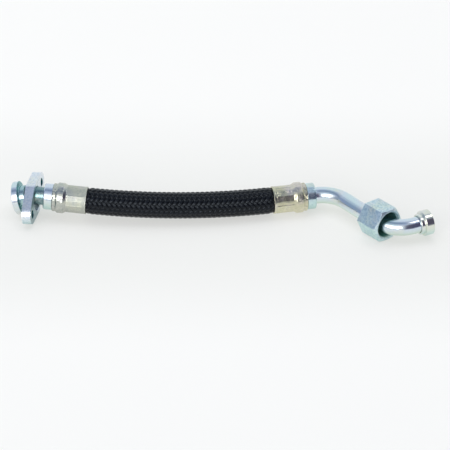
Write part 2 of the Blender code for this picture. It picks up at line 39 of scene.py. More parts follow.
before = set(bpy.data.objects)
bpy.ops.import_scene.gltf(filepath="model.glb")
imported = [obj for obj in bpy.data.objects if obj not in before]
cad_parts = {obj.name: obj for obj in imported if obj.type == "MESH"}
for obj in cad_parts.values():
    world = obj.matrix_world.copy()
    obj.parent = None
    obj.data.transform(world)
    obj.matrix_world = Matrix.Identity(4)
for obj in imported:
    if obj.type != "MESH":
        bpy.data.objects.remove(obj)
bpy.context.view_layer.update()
UP = Vector((0, 0, 1))
CLEAR = 0.0003  # between pieces that fit into each other
WELD = 1e-6  # vertices closer than this are joined


# Properties

LENGTH = {"unit": "LENGTH", "min": 0.0, "precision": 5}
ANGLE = {"precision": 4}
SHARE = {"min": 0.0, "max": 1.0}
AMOUNT = {"min": 0.0}
COUNT = {"min": 1}
COLOUR = {"size": 3, "min": 0.0, "max": 1.0, "subtype": "COLOR"}
PLACE = {"size": 3, "precision": 6, "subtype": "TRANSLATION"}
WAY = {"size": 3, "precision": 6, "subtype": "XYZ"}
USUAL = {
    float: (FloatProperty, LENGTH), int: (IntProperty, COUNT), tuple: (FloatVectorProperty, COLOUR)
}


GROUPS = {}


def group(key, purpose, **rows):
    """Adds a PropertyGroup; a row is (default, description), then its kind where it isn't usual."""
    fields = {}
    for name, (default, description, *kind) in rows.items():
        prop, usual = USUAL[type(default)]
        fields[name] = prop(
            name=name.replace("_", " ").capitalize(), description=description, default=default,
            **(kind[0] if kind else usual),
        )
    parts = {"__doc__": purpose, "__annotations__": fields}
    GROUPS["line_" + key] = type("LINE_PG_" + key, (PropertyGroup,), parts)


group(
    "route", "The centreline, from the head's sealing face to the end nipple's face.",
    start=((-0.223471, 0.018131, 0.017132), "Centre of the head's sealing face", PLACE),
    head_heading=(-8.5, "Degrees from +X", ANGLE),
    head_pitch=(14.7, "Degrees above the floor", ANGLE),
    left_heading=(-7.2, "Degrees from +X", ANGLE),
    left_pitch=(-2.46039987, "Degrees above the floor", ANGLE),
    right_heading=(11.5, "Degrees from +X", ANGLE),
    tube_heading=(-49.5, "Degrees from +X between the two bends", ANGLE),
    end_heading=(26.5, "Degrees from +X at the end nipple", ANGLE),
    neck_bend_station=(0.0195, "Where the neck tube starts to bend"),
    neck_bend_radius=(0.030, "Radius of the neck tube's bend"),
    neck_end_run=(0.0038, "Straight end of the neck tube"),
    hose_free=(0.201, "Hose between the ferrules' mouths"),
    tube_first_run=(0.002, "Straight start of the bent tube"),
    first_bend_radius=(0.032, "Radius of the first bend"),
    tube_middle_run=(0.0555, "Straight between the bends"),
    second_bend_radius=(0.031, "Radius of the second bend"),
    tube_last_run=(0.005, "Straight end of the bent tube"),
)

group(
    "head", "Sealing head and neck tube.",
    diameter=(0.036, "Diameter of the sealing disc"),
    disc=(0.0071, "Thickness of the sealing disc"),
    chamfer=(0.0011, "Chamfer of the sealing face"),
    hub_diameter=(0.0254, "Diameter of the hub behind the disc"),
    hub=(0.0063, "Length of the hub behind the disc"),
    edge=(0.0005, "Round of the small edges"),
    socket=(0.0085, "How deep the neck tube sits in the hub"),
    neck_diameter=(0.0195, "Diameter of the neck tube"),
    neck_wall=(0.00175, "Wall of the neck tube"),
)

group(
    "flange",
    "Loose two-bolt flange, in its own frame: X up, Y to the near bolt, Z through the bore.",
    centre=((-0.204643, 0.015301, 0.019257), "Middle of the flange's bore", PLACE),
    up=((-0.13819, -0.1919, 0.97164), "The flange's own X", WAY),
    axis=((0.973479, -0.20692, 0.097583), "The flange's own Z", WAY),
    thickness=(0.010, "Thickness of the plate"),
    bore=(0.0266, "Diameter of the bore"),
    bolt_hole=(0.009, "Diameter of a bolt hole"),
    bolt_pitch=(0.0495, "Distance between the bolt holes"),
    lobe=(0.0107, "Round round a bolt hole"),
    waist=(0.0185, "Half width where the flange is widest"),
    waist_round=(0.006, "Round of the corners beside the bore"),
    edge=(0.0005, "Round of the plate's edges"),
    hole_chamfer=(0.0005, "Chamfer of the holes"),
)

group(
    "fitting", "Hose nipples and crimped ferrules, the same at both ends of the hose.",
    collar_diameter=(0.0284, "Diameter of a nipple's collar"),
    collar=(0.0095, "Length of a nipple's collar"),
    collar_round=(0.0012, "Round of the collar's outer end"),
    bore=(0.0134, "Bore of a nipple"),
    socket=(0.008, "How deep a tube sits in a collar"),
    groove_diameter=(0.021, "Groove that a ferrule's end wall fits in"),
    land_diameter=(0.0234, "Land between the groove and the barbs"),
    land=(0.0027, "Length of the land"),
    barb_crest=(0.0184, "Diameter over a barb"),
    barb_root=(0.0168, "Diameter under a barb"),
    barb_pitch=(0.0072, "Length of a barb"),
    barbs=(4, "Number of barbs"),
    ferrule=(0.037, "Length of a ferrule"),
    wall=(0.0012, "Wall of a ferrule"),
    end_wall=(0.0014, "Thickness of a ferrule's end wall"),
    rim_diameter=(0.0304, "Diameter of a ferrule's closed end"),
    rim=(0.0034, "Length of the closed end's rim"),
    bead_diameter=(0.033, "Diameter of a ferrule's bead"),
    bead=(0.007, "Length of the bead"),
    bead_rise=(0.0016, "Slope from the rim up to the bead"),
    bead_ramp=(0.0032, "Slope from the bead down to the crimp"),
    crimp_diameter=(0.0293, "Diameter that the dies pressed"),
    dies=(8, "Number of crimping dies"),
    ridge=(0.0003, "Height of the seams between the dies"),
    lip_diameter=(0.0298, "Diameter of the open end"),
    lip=(0.0018, "Length of the open end's lip"),
    dent=(0.0005, "Depth of the dents in the rim"),
    gap=(0.0003, "Clearance between the pieces"),
)

group(
    "hose", "Rubber liner and braided cover.",
    braid_diameter=(0.0288, "Diameter over the braid"),
    crimped_diameter=(0.0263, "Diameter inside the ferrules"),
    inner_diameter=(0.026, "Diameter under the braid"),
    liner_diameter=(0.0254, "Diameter of the liner"),
    liner_bore=(0.019, "Bore of the liner"),
    ramp=(0.006, "How far from a mouth the hose swells to its full size"),
    tuck=(0.004, "How far the strands reach into a ferrule"),
    insertion=(0.0315, "How far the core reaches into a ferrule"),
    strands=(14, "Strands in each direction"),
    pitch=(0.0052, "Distance between neighbouring strands along the hose"),
    strand_width=(0.0043, "Width of a strand"),
    strand_height=(0.0014, "Thickness of a strand"),
    rise=(0.0007, "How far a strand rises and dips as it crosses the others"),
    band_angle=(72.9, "Degrees from the top to the middle of a band", ANGLE),
)

group(
    "tube", "Bent tube and end nipple.",
    diameter=(0.018, "Diameter of the bent tube"),
    wall=(0.0015, "Wall of the bent tube"),
    band_diameter=(0.0224, "Diameter of the end nipple's band"),
    band=(0.0044, "Length of the end nipple's band"),
    band_round=(0.0009, "Round of the band"),
    collar_diameter=(0.0277, "Diameter of the end collar"),
    collar=(0.0095, "Length of the end collar"),
    shoulder=(0.001, "Slope of the collar's shoulder"),
    edge=(0.0004, "Round of the small edges"),
    socket=(0.0095, "How deep the tube sits in the end nipple"),
)

group(
    "nut", "Loose union nut, in its own frame: X to a flat, Z from the rear to the mouth.",
    rear=((0.15924, -0.017419, 0.018724), "Middle of the rear face", PLACE),
    up=((0.07645, 0.07129, 0.99452), "The nut's own X, to a flat", WAY),
    axis=((0.681998, -0.731353, 0.0), "The nut's own Z", WAY),
    across_flats=(0.0355, "Distance between two flats"),
    nut_length=(0.028, "Length of the nut"),
    rear_length=(0.0046, "Length of the rear bore"),
    rear_bore=(0.023, "Diameter of the rear bore"),
    cavity=(0.0284, "Diameter over the thread's crests"),
    mouth=(0.0314, "Diameter of the mouth's chamfer"),
    face=(0.0346, "Diameter of the front face"),
    chamfer_angle=(30.0, "Degrees between the chamfer and the face", ANGLE),
    corner_round=(0.0006, "Round of the six corners"),
    edge=(0.0003, "Round of the rear edges"),
    thread_pitch=(0.002, "Pitch of the thread"),
    thread_depth=(0.0011, "Depth of the thread's grooves"),
    thread_run=(0.016, "Length of the threaded part"),
)

group(
    "finish", "Colours of the plating, the braid and the rubber.",
    ice=((0.66, 0.80, 0.83), "Thin blue zinc plate"),
    aqua=((0.58, 0.79, 0.74), "Zinc plate where it dried thicker"),
    lime=((0.70, 0.84, 0.70), "Zinc plate with a green tint"),
    lilac=((0.72, 0.73, 0.90), "Zinc plate with a violet tint"),
    rose=((0.85, 0.74, 0.80), "Zinc plate with a pink tint"),
    straw=((0.86, 0.84, 0.60), "Zinc plate with a yellow tint"),
    grey=((0.55, 0.56, 0.51), "Left ferrule's plate"),
    olive=((0.60, 0.57, 0.41), "Right ferrule's plate"),
    steel_blue=((0.74, 0.89, 0.90), "Nut's flats"),
    sky=((0.91, 0.94, 0.99), "Flange's sawn sides"),
    clear=((0.76, 0.79, 0.77), "End nipple's plate"),
    # painted shade inside the holes and behind the head's disc; also the neck's drifting tint
    teal=((0.13, 0.36, 0.37), "Plate inside the holes and the recesses"),
    # painted shade: the neck's plate darkened for the gap between the flange and the collar, also
    # laid on the flange's right face
    dull=((0.24, 0.36, 0.37), "Plate on the neck"),
    # painted shade inside the nut
    dark=((0.09, 0.22, 0.22), "Inside the nut"),
    flush=(0.4, "Share of pink and yellow in the plate's drifting tints", SHARE),
    yarn=((0.002, 0.0022, 0.0027), "Black braid"),
    yarn_light=((0.005, 0.006, 0.009), "Braid where it is rubbed"),
    rubber=((0.012, 0.012, 0.012), "Black rubber"),
)

group(
    "stage", "Floor, lamps and camera.",
    floor_colour=((0.765, 0.76, 0.74), "Colour of the floor"),
    floor_glow=(0.6, "How far the floor shows as plain white", SHARE),
    glow_near=(0.06, "Half width of the strip where the floor is a little greyer"),
    glow_far=(0.26, "From here on the floor is white"),
    key_radiance=(1.9, "Radiance of the key lamp", AMOUNT),
    floor_radius=(40.0, "Radius of the floor"),
    key_place=((-0.35, 0.3, 2.1), "Where the key lamp hangs", PLACE),
    key_size=(2.2, "Side of the key lamp"),
    camera_distance=(10.0, "From the aim point"),
    camera_width=(0.4851, "Width that the frame takes in"),
    camera_elevation=(33.0, "Degrees above the floor", ANGLE),
    aim=((0.002725, -0.008469, 0.0), "Point on the floor in the middle of the frame", PLACE),
)


# Route and frames

def direction(heading, pitch=0.0):
    heading, pitch = math.radians(heading), math.radians(pitch)
    flat = math.cos(pitch)
    return Vector((flat * math.cos(heading), flat * math.sin(heading), math.sin(pitch)))


def frame_at(point, x_axis, z_axis):
    """Matrix at a point with local Z along z_axis and local X as near to x_axis as it can be."""
    z_axis = Vector(z_axis).normalized()
    y_axis = z_axis.cross(Vector(x_axis)).normalized()
    axes = Matrix((y_axis.cross(z_axis), y_axis, z_axis)).transposed()
    return Matrix.Translation(point) @ axes.to_4x4()


class Route:
    """Straight runs and round bends joined end to end, measured along the centreline."""

    def __init__(self, start, along):
        self.end = Vector(start)
        self.along = along
        self.length = 0.0
        self.parts = []

    def straight(self, run):
        self.parts.append((self.length, self.end, self.along, None, 0.0))
        self.end = self.end + self.along * run
        self.length += run
        return self.length

    def bend(self, along, radius=0.0, run=0.0):
        turn = self.along.angle(along)
        radius = radius or run / turn
        inward = (along - self.along * math.cos(turn)) / math.sin(turn)
        self.parts.append((self.length, self.end, self.along, inward, radius))
        self.end, self.along = self.at(self.length + radius * turn)
        self.length += radius * turn
        return self.length

    def at(self, station):
        """Centre and direction of the line at a station."""
        passed = [part for part in self.parts if part[0] <= station] or self.parts[:1]
        begin, start, along, inward, radius = passed[-1]
        if inward is None:
            return start + along * (station - begin), along
        turn = (station - begin) / radius
        move = along * math.sin(turn) + inward * (1 - math.cos(turn))
        return start + move * radius, along * math.cos(turn) + inward * math.sin(turn)

    def frame(self, station):
        point, along = self.at(station)
        return frame_at(point, UP, along)


def full_route(scene):
    """The whole route, with the stations of its pieces in a dictionary."""
    r, fitting, tube = scene.line_route, scene.line_fitting, scene.line_tube
    route = Route(r.start, direction(r.head_heading, r.head_pitch))
    route.straight(r.neck_bend_station)
    route.bend(direction(r.left_heading, r.left_pitch), radius=r.neck_bend_radius)
    stations = {"left_collar": route.straight(r.neck_end_run)}
    stations["left_mouth"] = route.straight(fitting.collar + fitting.ferrule)
    stations["right_mouth"] = route.bend(direction(r.right_heading), run=r.hose_free)
    stations["right_collar_end"] = route.straight(fitting.ferrule + fitting.collar)
    route.straight(r.tube_first_run)
    route.bend(direction(r.tube_heading), radius=r.first_bend_radius)
    route.straight(r.tube_middle_run)
    route.bend(direction(r.end_heading), radius=r.second_bend_radius)
    stations["end_nipple"] = route.straight(r.tube_last_run)
    route.straight(tube.band + tube.collar)
    return route, stations


# Mesh tools

def add(name, data):
    made = bpy.data.objects.new(name, data)
    bpy.context.scene.collection.objects.link(made)
    return made


def polyline(name, points, cyclic=False):
    """An object with a curve of straight pieces."""
    curve = bpy.data.curves.new(name, "CURVE")
    curve.dimensions = "2D" if cyclic else "3D"
    spline = curve.splines.new("POLY")
    spline.points.add(len(points) - 1)
    spline.points.foreach_set("co", [part for point in points for part in (*point, 1.0)])
    spline.use_cyclic_u = cyclic
    return add(name, curve)


def aimed(made, place, way):
    """Puts the object at a place, looking along a way."""
    made.location = place
    made.rotation_mode = "QUATERNION"
    made.rotation_quaternion = way.to_track_quat("-Z", "Y")


def rise(value, low, high):
    """0 at low and below, 1 at high and above, straight in between."""
    return min(max((value - low) / (high - low), 0.0), 1.0)


def hump(value, width):
    return math.exp(-((value / width) ** 2))


def rounded(points, steps=4):
    """A closed (radius, height, round) profile with round corners, held flat beside them."""
    most_of_side = 0.42
    hold = 1.12
    made = []
    for k, (*spot, size) in enumerate([(*point, 0.0)[:3] for point in points]):
        corner = Vector(spot)
        if size <= 0.0:
            made.append(tuple(corner))
            continue
        back = Vector(points[k - 1][:2]) - corner
        ahead = Vector(points[(k + 1) % len(points)][:2]) - corner
        turn = back.angle(ahead)
        reach = size / math.tan(turn / 2)
        most = most_of_side * min(back.length, ahead.length)
        if reach > most:
            size *= most / reach
            reach = most
        back.normalize()
        ahead.normalize()
        centre = corner + (back + ahead).normalized() * size / math.sin(turn / 2)
        first = corner + back * reach - centre
        swing = first.angle_signed(corner + ahead * reach - centre)
        made.append(tuple(corner + back * reach * hold))
        for j in range(steps + 1):
            spot = first.copy()
            spot.rotate(Matrix.Rotation(-swing * j / steps, 2))
            made.append(tuple(centre + spot))
        made.append(tuple(corner + ahead * reach * hold))
    return made


def skin(name, rings, spots=None):
    """A mesh over rings of points, closed on itself; without spots its ends are capped.

    Spots holds the same points in the piece's own frame.
    """
    across = len(rings[0])
    faces = []
    for row in range(len(rings) if spots else len(rings) - 1):
        here, below = row * across, (row + 1) % len(rings) * across
        for k in range(across):
            after = (k + 1) % across
            faces.append((here + k, below + k, below + after, here + after))
    if not spots:
        last = (len(rings) - 1) * across
        faces += [tuple(range(across)), tuple(range(last, last + across))]
    mesh = bpy.data.meshes.new(name)
    mesh.from_pydata([point for each in rings for point in each], [], faces)
    if spots:
        mark(mesh, [spot for each in spots for spot in each])
    return outward(mesh)


def mark(mesh, spots):
    """Stores each vertex's place in the piece's own frame, in metres, for the finish to read."""
    field = mesh.attributes.new("piece_frame", "FLOAT_VECTOR", "POINT")
    field.data.foreach_set("vector", [value for spot in spots for value in spot])


def outward(mesh, weld=0.0):
    """Turns the faces outward, after vertices closer than weld are joined."""
    shape = bmesh.new()
    shape.from_mesh(mesh)
    if weld:
        bmesh.ops.remove_doubles(shape, verts=shape.verts, dist=weld)
    bmesh.ops.recalc_face_normals(shape, faces=shape.faces)
    shape.to_mesh(mesh)
    shape.free()
    return mesh


def ring(radius, height, segments, shift=None):
    """Points round local Z; shift moves a radius locally."""
    points = []
    for k in range(segments):
        turn = 2 * math.pi * k / segments
        grown = radius + (shift(radius, height, turn) if shift else 0.0)
        points.append(Vector((grown * math.cos(turn), grown * math.sin(turn), height)))
    return points


def lathe(name, profile, place, segments=128, shift=None):
    """A closed (radius, height) profile turned round local Z."""
    spots = [ring(radius, height, segments, shift) for radius, height in profile]
    return skin(name, [[place @ spot for spot in each] for each in spots], spots)


def sweep(name, route, stations, outer, inner, segments=64):
    """A tube along the route, with outer and inner radius at each station."""
    layers = [(s, outer(s)) for s in stations] + [(s, inner(s)) for s in reversed(stations)]
    rings, spots = [], []
    for station, radius in layers:
        place = route.frame(station)
        flat = ring(radius, 0.0, segments)
        rings.append([place @ spot for spot in flat])
        spots.append([Vector((spot.x, spot.y, station)) for spot in flat])
    return skin(name, rings, spots)


def spaced(first, last, step):
    total = max(1, math.ceil((last - first) / step))
    return [first + (last - first) * k / total for k in range(total + 1)]


def piece(name, mesh, material, body, node, slot, sharp=45.0, weighted=False):
    """The finished object: smooth, riding on its body, standing for its CAD node."""
    mesh.materials.clear()
    mesh.materials.append(material)
    mesh.shade_smooth()
    mesh.set_sharp_from_angle(angle=math.radians(sharp))
    made = add(name, mesh)
    if weighted:
        made.modifiers.new("Flat faces", "WEIGHTED_NORMAL").keep_sharp = True
    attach(made, body)
    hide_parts(node)
    return made


def evaluated_mesh(made):
    """The object's mesh with its modifiers applied; the object goes."""
    bpy.context.view_layer.update()
    graph = bpy.context.evaluated_depsgraph_get()
    mesh = bpy.data.meshes.new_from_object(made.evaluated_get(graph), depsgraph=graph)
    bpy.data.objects.remove(made, do_unlink=True)
    return mesh


# Finishes

class Field:
    """A number over a surface or a mesh; sums on it add Math nodes."""

    def __init__(self, nodes, socket):
        self.nodes = nodes
        self.socket = socket

    def sum(self, operation, *values):
        found = self.nodes.node("Math", {"operation": operation}, dict(enumerate(values)))
        return Field(self.nodes, found[0])

    def __abs__(self):
        return self.sum("ABSOLUTE", self)

    def sine(self):
        return self.sum("SINE", self)

    def cosine(self):
        return self.sum("COSINE", self)

    def at_least(self, other):
        return self.sum("MAXIMUM", self, other)

    def at_most(self, other):
        return self.sum("MINIMUM", self, other)

    def between(self, low, high):
        """0 at low and below, 1 at high and above, smooth in between."""
        values = {0: self, 1: low, 2: high, 3: 0.0, 4: 1.0}
        found = self.nodes.node("MapRange", {"interpolation_type": "SMOOTHSTEP"}, values)
        return Field(self.nodes, found[0])


for sign, operation in (
    ("add", "ADD"), ("sub", "SUBTRACT"), ("mul", "MULTIPLY"), ("truediv", "DIVIDE")
):
    setattr(Field, f"__{sign}__", lambda a, b, o=operation: a.sum(o, a, b))
    setattr(Field, f"__r{sign}__", lambda a, b, o=operation: a.sum(o, b, a))


class Nodes:
    """Builds a node tree; a kind without Node in its name is a shader node's."""

    def __init__(self, tree):
        self.tree = tree

    def node(self, kind, settings=None, values=None):
        """A node's outputs: its settings are set first, then its values and links."""
        made = self.tree.nodes.new(kind if "Node" in kind else "ShaderNode" + kind)
        for name, value in (settings or {}).items():
            setattr(made, name, value)
        for name, value in (values or {}).items():
            self.put(made.inputs[name], value)
        return made.outputs

    def put(self, socket, value):
        if isinstance(value, Field):
            value = value.socket
        if isinstance(value, NodeSocket):
            self.tree.links.new(value, socket)
        else:
            socket.default_value = value

    def mix(self, factor, first, second):
        """Colours first and second mixed by factor."""
        first, second = (
            value if isinstance(value, NodeSocket) else (*value, 1.0) for value in (first, second)
        )
        return self.node("Mix", {"data_type": "RGBA"}, {0: factor, 6: first, 7: second})[2]

    def split(self, vector):
        parts = self.node("SeparateXYZ", None, {0: vector})
        return [Field(self, parts[axis]) for axis in "XYZ"]


class Finish(Nodes):
    """A material built of nodes round its Principled shader."""

    def __init__(self, name, metallic, roughness):
        self.material = bpy.data.materials.new(name)
        self.material.use_nodes = True
        super().__init__(self.material.node_tree)
        self.shader = self.tree.nodes["Principled BSDF"]
        self.feed("Metallic", metallic)
        self.feed("Roughness", roughness)

    def feed(self, name, value):
        self.put(self.shader.inputs[name], value)

    def object_place(self):
        return self.node("TexCoord")["Object"]

    def facing(self):
        """The height part of the normal at rest, from -1 below to 1 above."""
        return self.split(self.node("TexCoord")["Normal"])[2]

    def piece_place(self):
        """The point in the piece's own frame, in metres, and its parts."""
        vector = self.node("Attribute", {"attribute_name": "piece_frame"})["Vector"]
        return vector, self.split(vector)

    def noise(self, vector, scale, detail=2.0, rough=0.5, seed=0.0, stretch=None):
        if stretch:
            vector = self.node("Mapping", None, {0: vector, 3: stretch})[0]
        values = {
            "Vector": vector, "W": seed, "Scale": scale, "Detail": detail, "Roughness": rough,
        }
        return Field(self, self.node("TexNoise", {"noise_dimensions": "4D"}, values)[0])

    def bump(self, height, distance, strength=1.0, after=None):
        values = {"Strength": strength, "Distance": distance, "Height": height}
        if after is not None:
            values["Normal"] = after
        return self.node("Bump", None, values)[0]


def times(shade, factor):
    return tuple(factor * part for part in shade)


def from_axis(x, y):
    """Distance from the piece's own axis."""
    square = x * x + y * y
    return square.sum("SQRT", square)


def zinc(
    name, f, colours, seed, tint_share, roughness,
    mottle=0.0, turned=0.0, drawn=0.0, rough_from=None, patches=None,
):
    """Zinc plate: drifting tints, a paler underside, dull spots and fine marks.

    Turned and drawn are the strengths of marks round and along the piece. From the height
    rough_from[0] the plate is duller by rough_from[1]. Patches gives masks and their colours.
    """
    base, tint, under = (tuple(getattr(f, each)) for each in colours)
    finish = Finish(name, 1.0, roughness)
    place = finish.object_place()
    vector, (x, y, z) = finish.piece_place()
    shade = base
    for scale, start, most, other in (
        (38.0, 0.38, tint_share, tint),
        (95.0, 0.50, f.flush, tuple(f.rose)),
        (70.0, 0.50, f.flush, tuple(f.straw)),
    ):
        drift = finish.noise(place, scale, 2.0, 0.5, seed + scale).between(start, start + 0.24)
        shade = finish.mix(drift * most, shade, other)
    # Painted reflection: the underside takes the third colour, as the floor's reflection tints it.
    below = (0.35 - finish.facing()).between(0.0, 1.1)
    shade = finish.mix(below * 0.85, shade, under)
    grain = finish.noise(place, 900.0, 3.0, 0.65, seed + 3.0)
    if mottle:
        spots = finish.noise(place, 380.0, 4.0, 0.8, seed + 5.0).between(0.40, 0.62)
        teal_share = (0.42, 0.56, 0.66)
        deep = tuple(part * share for part, share in zip(base, teal_share))
        shade = finish.mix(spots * mottle, shade, deep)
    # Painted shade and painted reflection: each patch's mask lays its colour on the plate.
    for mask, patch in patches(x, y, z) if patches else ():
        shade = finish.mix(mask, shade, tuple(patch))
    finish.feed("Base Color", shade)
    smear = finish.noise(place, 120.0, 3.0, 0.6, seed + 7.0)
    dullness = roughness * 0.7 + smear * (roughness * 0.7) + grain * (0.06 + mottle * 0.1)
    if rough_from:
        height, more = rough_from
        dullness = dullness + z.between(height - 0.002, height + 0.002) * more
    finish.feed("Roughness", dullness)
    fine = finish.bump(grain, 0.00003 + 0.00005 * mottle, 0.5)
    if drawn:
        streaks = finish.noise(vector, 900.0, 2.0, 0.6, seed, (1.0, 1.0, 0.06))
        fine = finish.bump(streaks, 0.00016, drawn, fine)
    if turned:
        rings = finish.noise(vector, 3500.0, 2.0, 0.6, seed, (0.0, 0.0, 1.0))
        fine = finish.bump(rings, 0.00003, turned, fine)
    finish.feed("Normal", fine)
    return finish.material


def yarn_finish(f):
    """Black yarn: fine twisted threads along each strand, rubbed lighter on the crowns."""
    finish = Finish("black braid yarn", 0.0, 0.42)
    place = finish.object_place()
    across, crown, along = finish.piece_place()[1]
    threads = (across * 6600.0).sine()
    twist = (across * 3300.0 + along * 4200.0).sine()
    fuzz = finish.noise(place, 1500.0, 3.0, 0.7)
    worn = finish.noise(place, 160.0, 2.0, 0.5, 4.0).between(0.4, 0.7)
    rubbed = crown.between(0.0, 1.0) * (0.35 + worn * 0.65)
    finish.feed("Base Color", finish.mix(rubbed, tuple(f.yarn), tuple(f.yarn_light)))
    finish.feed("Roughness", 0.15 + fuzz * 0.12)
    ribs = finish.bump(threads * 0.7 + twist * 0.5, 0.00008, 0.6)
    finish.feed("Normal", finish.bump(fuzz, 0.00006, 0.35, ribs))
    finish.feed("Specular IOR Level", 0.25)
    finish.feed("Specular Tint", (0.78, 0.88, 1.0, 1.0))
    return finish.material


def rubber_finish(name, f, seed):
    finish = Finish(name, 0.0, 0.6)
    place = finish.object_place()
    cloud = finish.noise(place, 180.0, 3.0, 0.6, seed)
    shade = finish.mix(cloud.between(0.35, 0.7), tuple(f.rubber), times(f.rubber, 2.0))
    finish.feed("Base Color", shade)
    finish.feed("Roughness", 0.5 + cloud * 0.25)
    finish.feed("Normal", finish.bump(finish.noise(place, 1800.0, 2.0, 0.6, seed), 0.00005, 0.4))
    return finish.material


# Shapes of the pieces

def nipple_profile(s, socket):
    """A hose nipple: the collar at the bottom, then the groove, the land and the barbs."""
    edge = 0.0003
    collar, land, groove = s.collar_diameter / 2, s.land_diameter / 2, s.groove_diameter / 2
    groove_end = s.collar + s.end_wall + 2 * s.gap
    land_end = groove_end + s.land
    top = land_end + s.barbs * s.barb_pitch
    outer = []
    for k in reversed(range(s.barbs)):
        start = land_end + k * s.barb_pitch
        outer.append((s.barb_root / 2, start + s.barb_pitch))
        outer.append((s.barb_crest / 2, start + 0.15 * s.barb_pitch, 0.0002))
    return rounded(
        outer + [
            (s.barb_root / 2, land_end), (land, land_end, edge), (land, groove_end, edge),
            (groove, groove_end), (groove, s.collar), (collar, s.collar, edge),
            (collar, 0.0, s.collar_round * 1.3), (socket, 0.0, edge), (socket, s.socket),
            (s.bore / 2, s.socket), (s.bore / 2, top, edge),
        ]
    )


def ferrule_profile(s, step=0.0005):
    """A ferrule's closed (radius, height) profile, with its outer side cut into short steps."""
    rim, bead = s.rim_diameter / 2, s.bead_diameter / 2
    crimp, lip = s.crimp_diameter / 2, s.lip_diameter / 2
    bead_start = s.rim + s.bead_rise
    bead_low = bead_start + 0.0004
    bead_end = bead_start + s.bead
    crimp_start = bead_end + s.bead_ramp
    lip_start = s.ferrule - s.lip
    hole = s.groove_diameter / 2 + s.gap
    floor = s.gap + s.end_wall
    bore = crimp - s.wall
    profile = [
        (rim, s.gap, 0.0006), (rim, s.rim, 0.0006), (rim - 0.0002, s.rim + 0.0005, 0.0004),
        (bead, bead_low, 0.0018), (bead, bead_end, 0.0018), (crimp, crimp_start, 0.0016),
        (crimp, lip_start - 0.0006, 0.0006), (lip, lip_start, 0.0005), (lip, s.ferrule, 0.0004),
        (bore, s.ferrule, 0.0003), (bore, crimp_start), (bead - s.wall, bead_end),
        (bead - s.wall, bead_low), (rim - s.wall, s.rim), (rim - s.wall, floor),
        (hole, floor), (hole, s.gap),
    ]
    points = rounded(profile, 6)
    dense = []
    for first, second in zip(points, points[1:] + points[:1]):
        outside = min(first[0], second[0]) > bore + 0.0004
        parts = max(1, math.ceil(math.dist(first, second) / step)) if outside else 1
        for j in range(parts):
            dense.append(tuple(a + (b - a) * j / parts for a, b in zip(first, second)))
    return dense


def crimped(s, seed):
    """How the dies and knocks move a ferrule's surface in or out."""
    crimp_start = s.rim + s.bead_rise + s.bead + s.bead_ramp
    bead_middle = s.rim + s.bead_rise + s.bead / 2
    outside = s.crimp_diameter / 2 - s.wall + 0.0006
    die_end = s.ferrule - 0.004
    rim_dents = 10
    die_share = math.pi / s.dies

    def from_mark(turn, marks, shift):
        """Angle to the nearest of some evenly spaced marks."""
        phase = turn * marks / (2 * math.pi) + shift
        return abs(phase - round(phase)) * 2 * math.pi / marks

    def moved(radius, height, turn):
        if radius < outside:
            return 0.0
        away = from_mark(turn, s.dies, 0.0)
        pressed = rise(height, crimp_start - 0.002, crimp_start + 0.001)
        pressed *= rise(s.ferrule - s.lip - height, 0.0, 0.0016)
        out = s.ridge * hump(away * radius, 0.0007) * pressed
        hollow = 0.25 - (away / die_share - 0.5) ** 2
        out -= 0.0004 * hollow * pressed
        out += 0.00012 * hump(height - die_end, 0.00035)
        if height < s.rim + 0.0002:
            dent = from_mark(turn, rim_dents, 0.3 + seed) * radius
            out -= s.dent * (1 - rise(dent, 0.0011, 0.0017)) * rise(height, 0.0009, 0.0015)
        if abs(height - bead_middle) < 0.005:
            knock = from_mark(turn, s.dies, 0.5) * radius
            out -= 0.00028 * hump(knock, 0.0016) * hump(height - bead_middle - 0.0026, 0.0018)
        spot = Vector((math.cos(turn) * 2.2, math.sin(turn) * 2.2, height * 160 + seed * 9))
        return out + 0.00015 * noise.noise(spot) + 0.00005 * noise.noise(spot * 3.1)

    return moved


def flange_outline(s, lobe_steps=40, waist_steps=14):
    """The flange's outline: a diamond with round lobes at the bolts and round waist corners."""
    reach = s.bolt_pitch / 2
    slope = math.atan2(s.waist, reach) - math.asin(s.lobe / math.hypot(reach, s.waist))
    normal = math.pi / 2 - slope
    waist_centre = s.waist - s.waist_round / math.cos(slope)
    points = []
    for x, y, radius, start, swing, steps in (
        (reach, 0.0, s.lobe, -normal, 2 * normal, lobe_steps),
        (0.0, waist_centre, s.waist_round, normal, 2 * slope, waist_steps),
    ):
        for k in range(steps + 1):
            turn = start + swing * k / steps
            points.append((x + radius * math.cos(turn), y + radius * math.sin(turn)))
    return points + [(-x, -y) for x, y in points]


def flange_mesh(s, place):
    plate = polyline("flange plate", [(-y, x, 0.0) for x, y in flange_outline(s)], True)
    plate.data.fill_mode = "BOTH"
    plate.data.extrude = s.thickness / 2
    blank = add("flange blank", outward(evaluated_mesh(plate), WELD))
    edge = blank.modifiers.new("Edges", "BEVEL")
    edge.width = s.edge
    edge.segments = 3
    edge.angle_limit = math.radians(40)
    top, cut = s.thickness / 2, s.hole_chamfer
    holes = ((s.bore, 0, 96), (s.bolt_hole, 1, 56), (s.bolt_hole, -1, 56))
    cutters = []
    for diameter, side, segments in holes:
        wide, narrow = diameter / 2 + 2 * cut, diameter / 2
        middle = Vector((0, side * s.bolt_pitch / 2, 0))
        rings = [
            [spot + middle for spot in ring(radius, height, segments)]
            for radius, height in (
                (wide, top + cut), (narrow, top - cut), (narrow, cut - top), (wide, -top - cut)
            )
        ]
        cutter = add("flange cutter", skin("flange cutter", rings))
        hole = blank.modifiers.new("Hole", "BOOLEAN")
        hole.operation = "DIFFERENCE"
        hole.object = cutter
        cutters.append(cutter)
    mesh = outward(evaluated_mesh(blank), WELD)
    for cutter in cutters:
        bpy.data.objects.remove(cutter, do_unlink=True)
    mark(mesh, [vertex.co.copy() for vertex in mesh.vertices])
    mesh.transform(place)
    return mesh


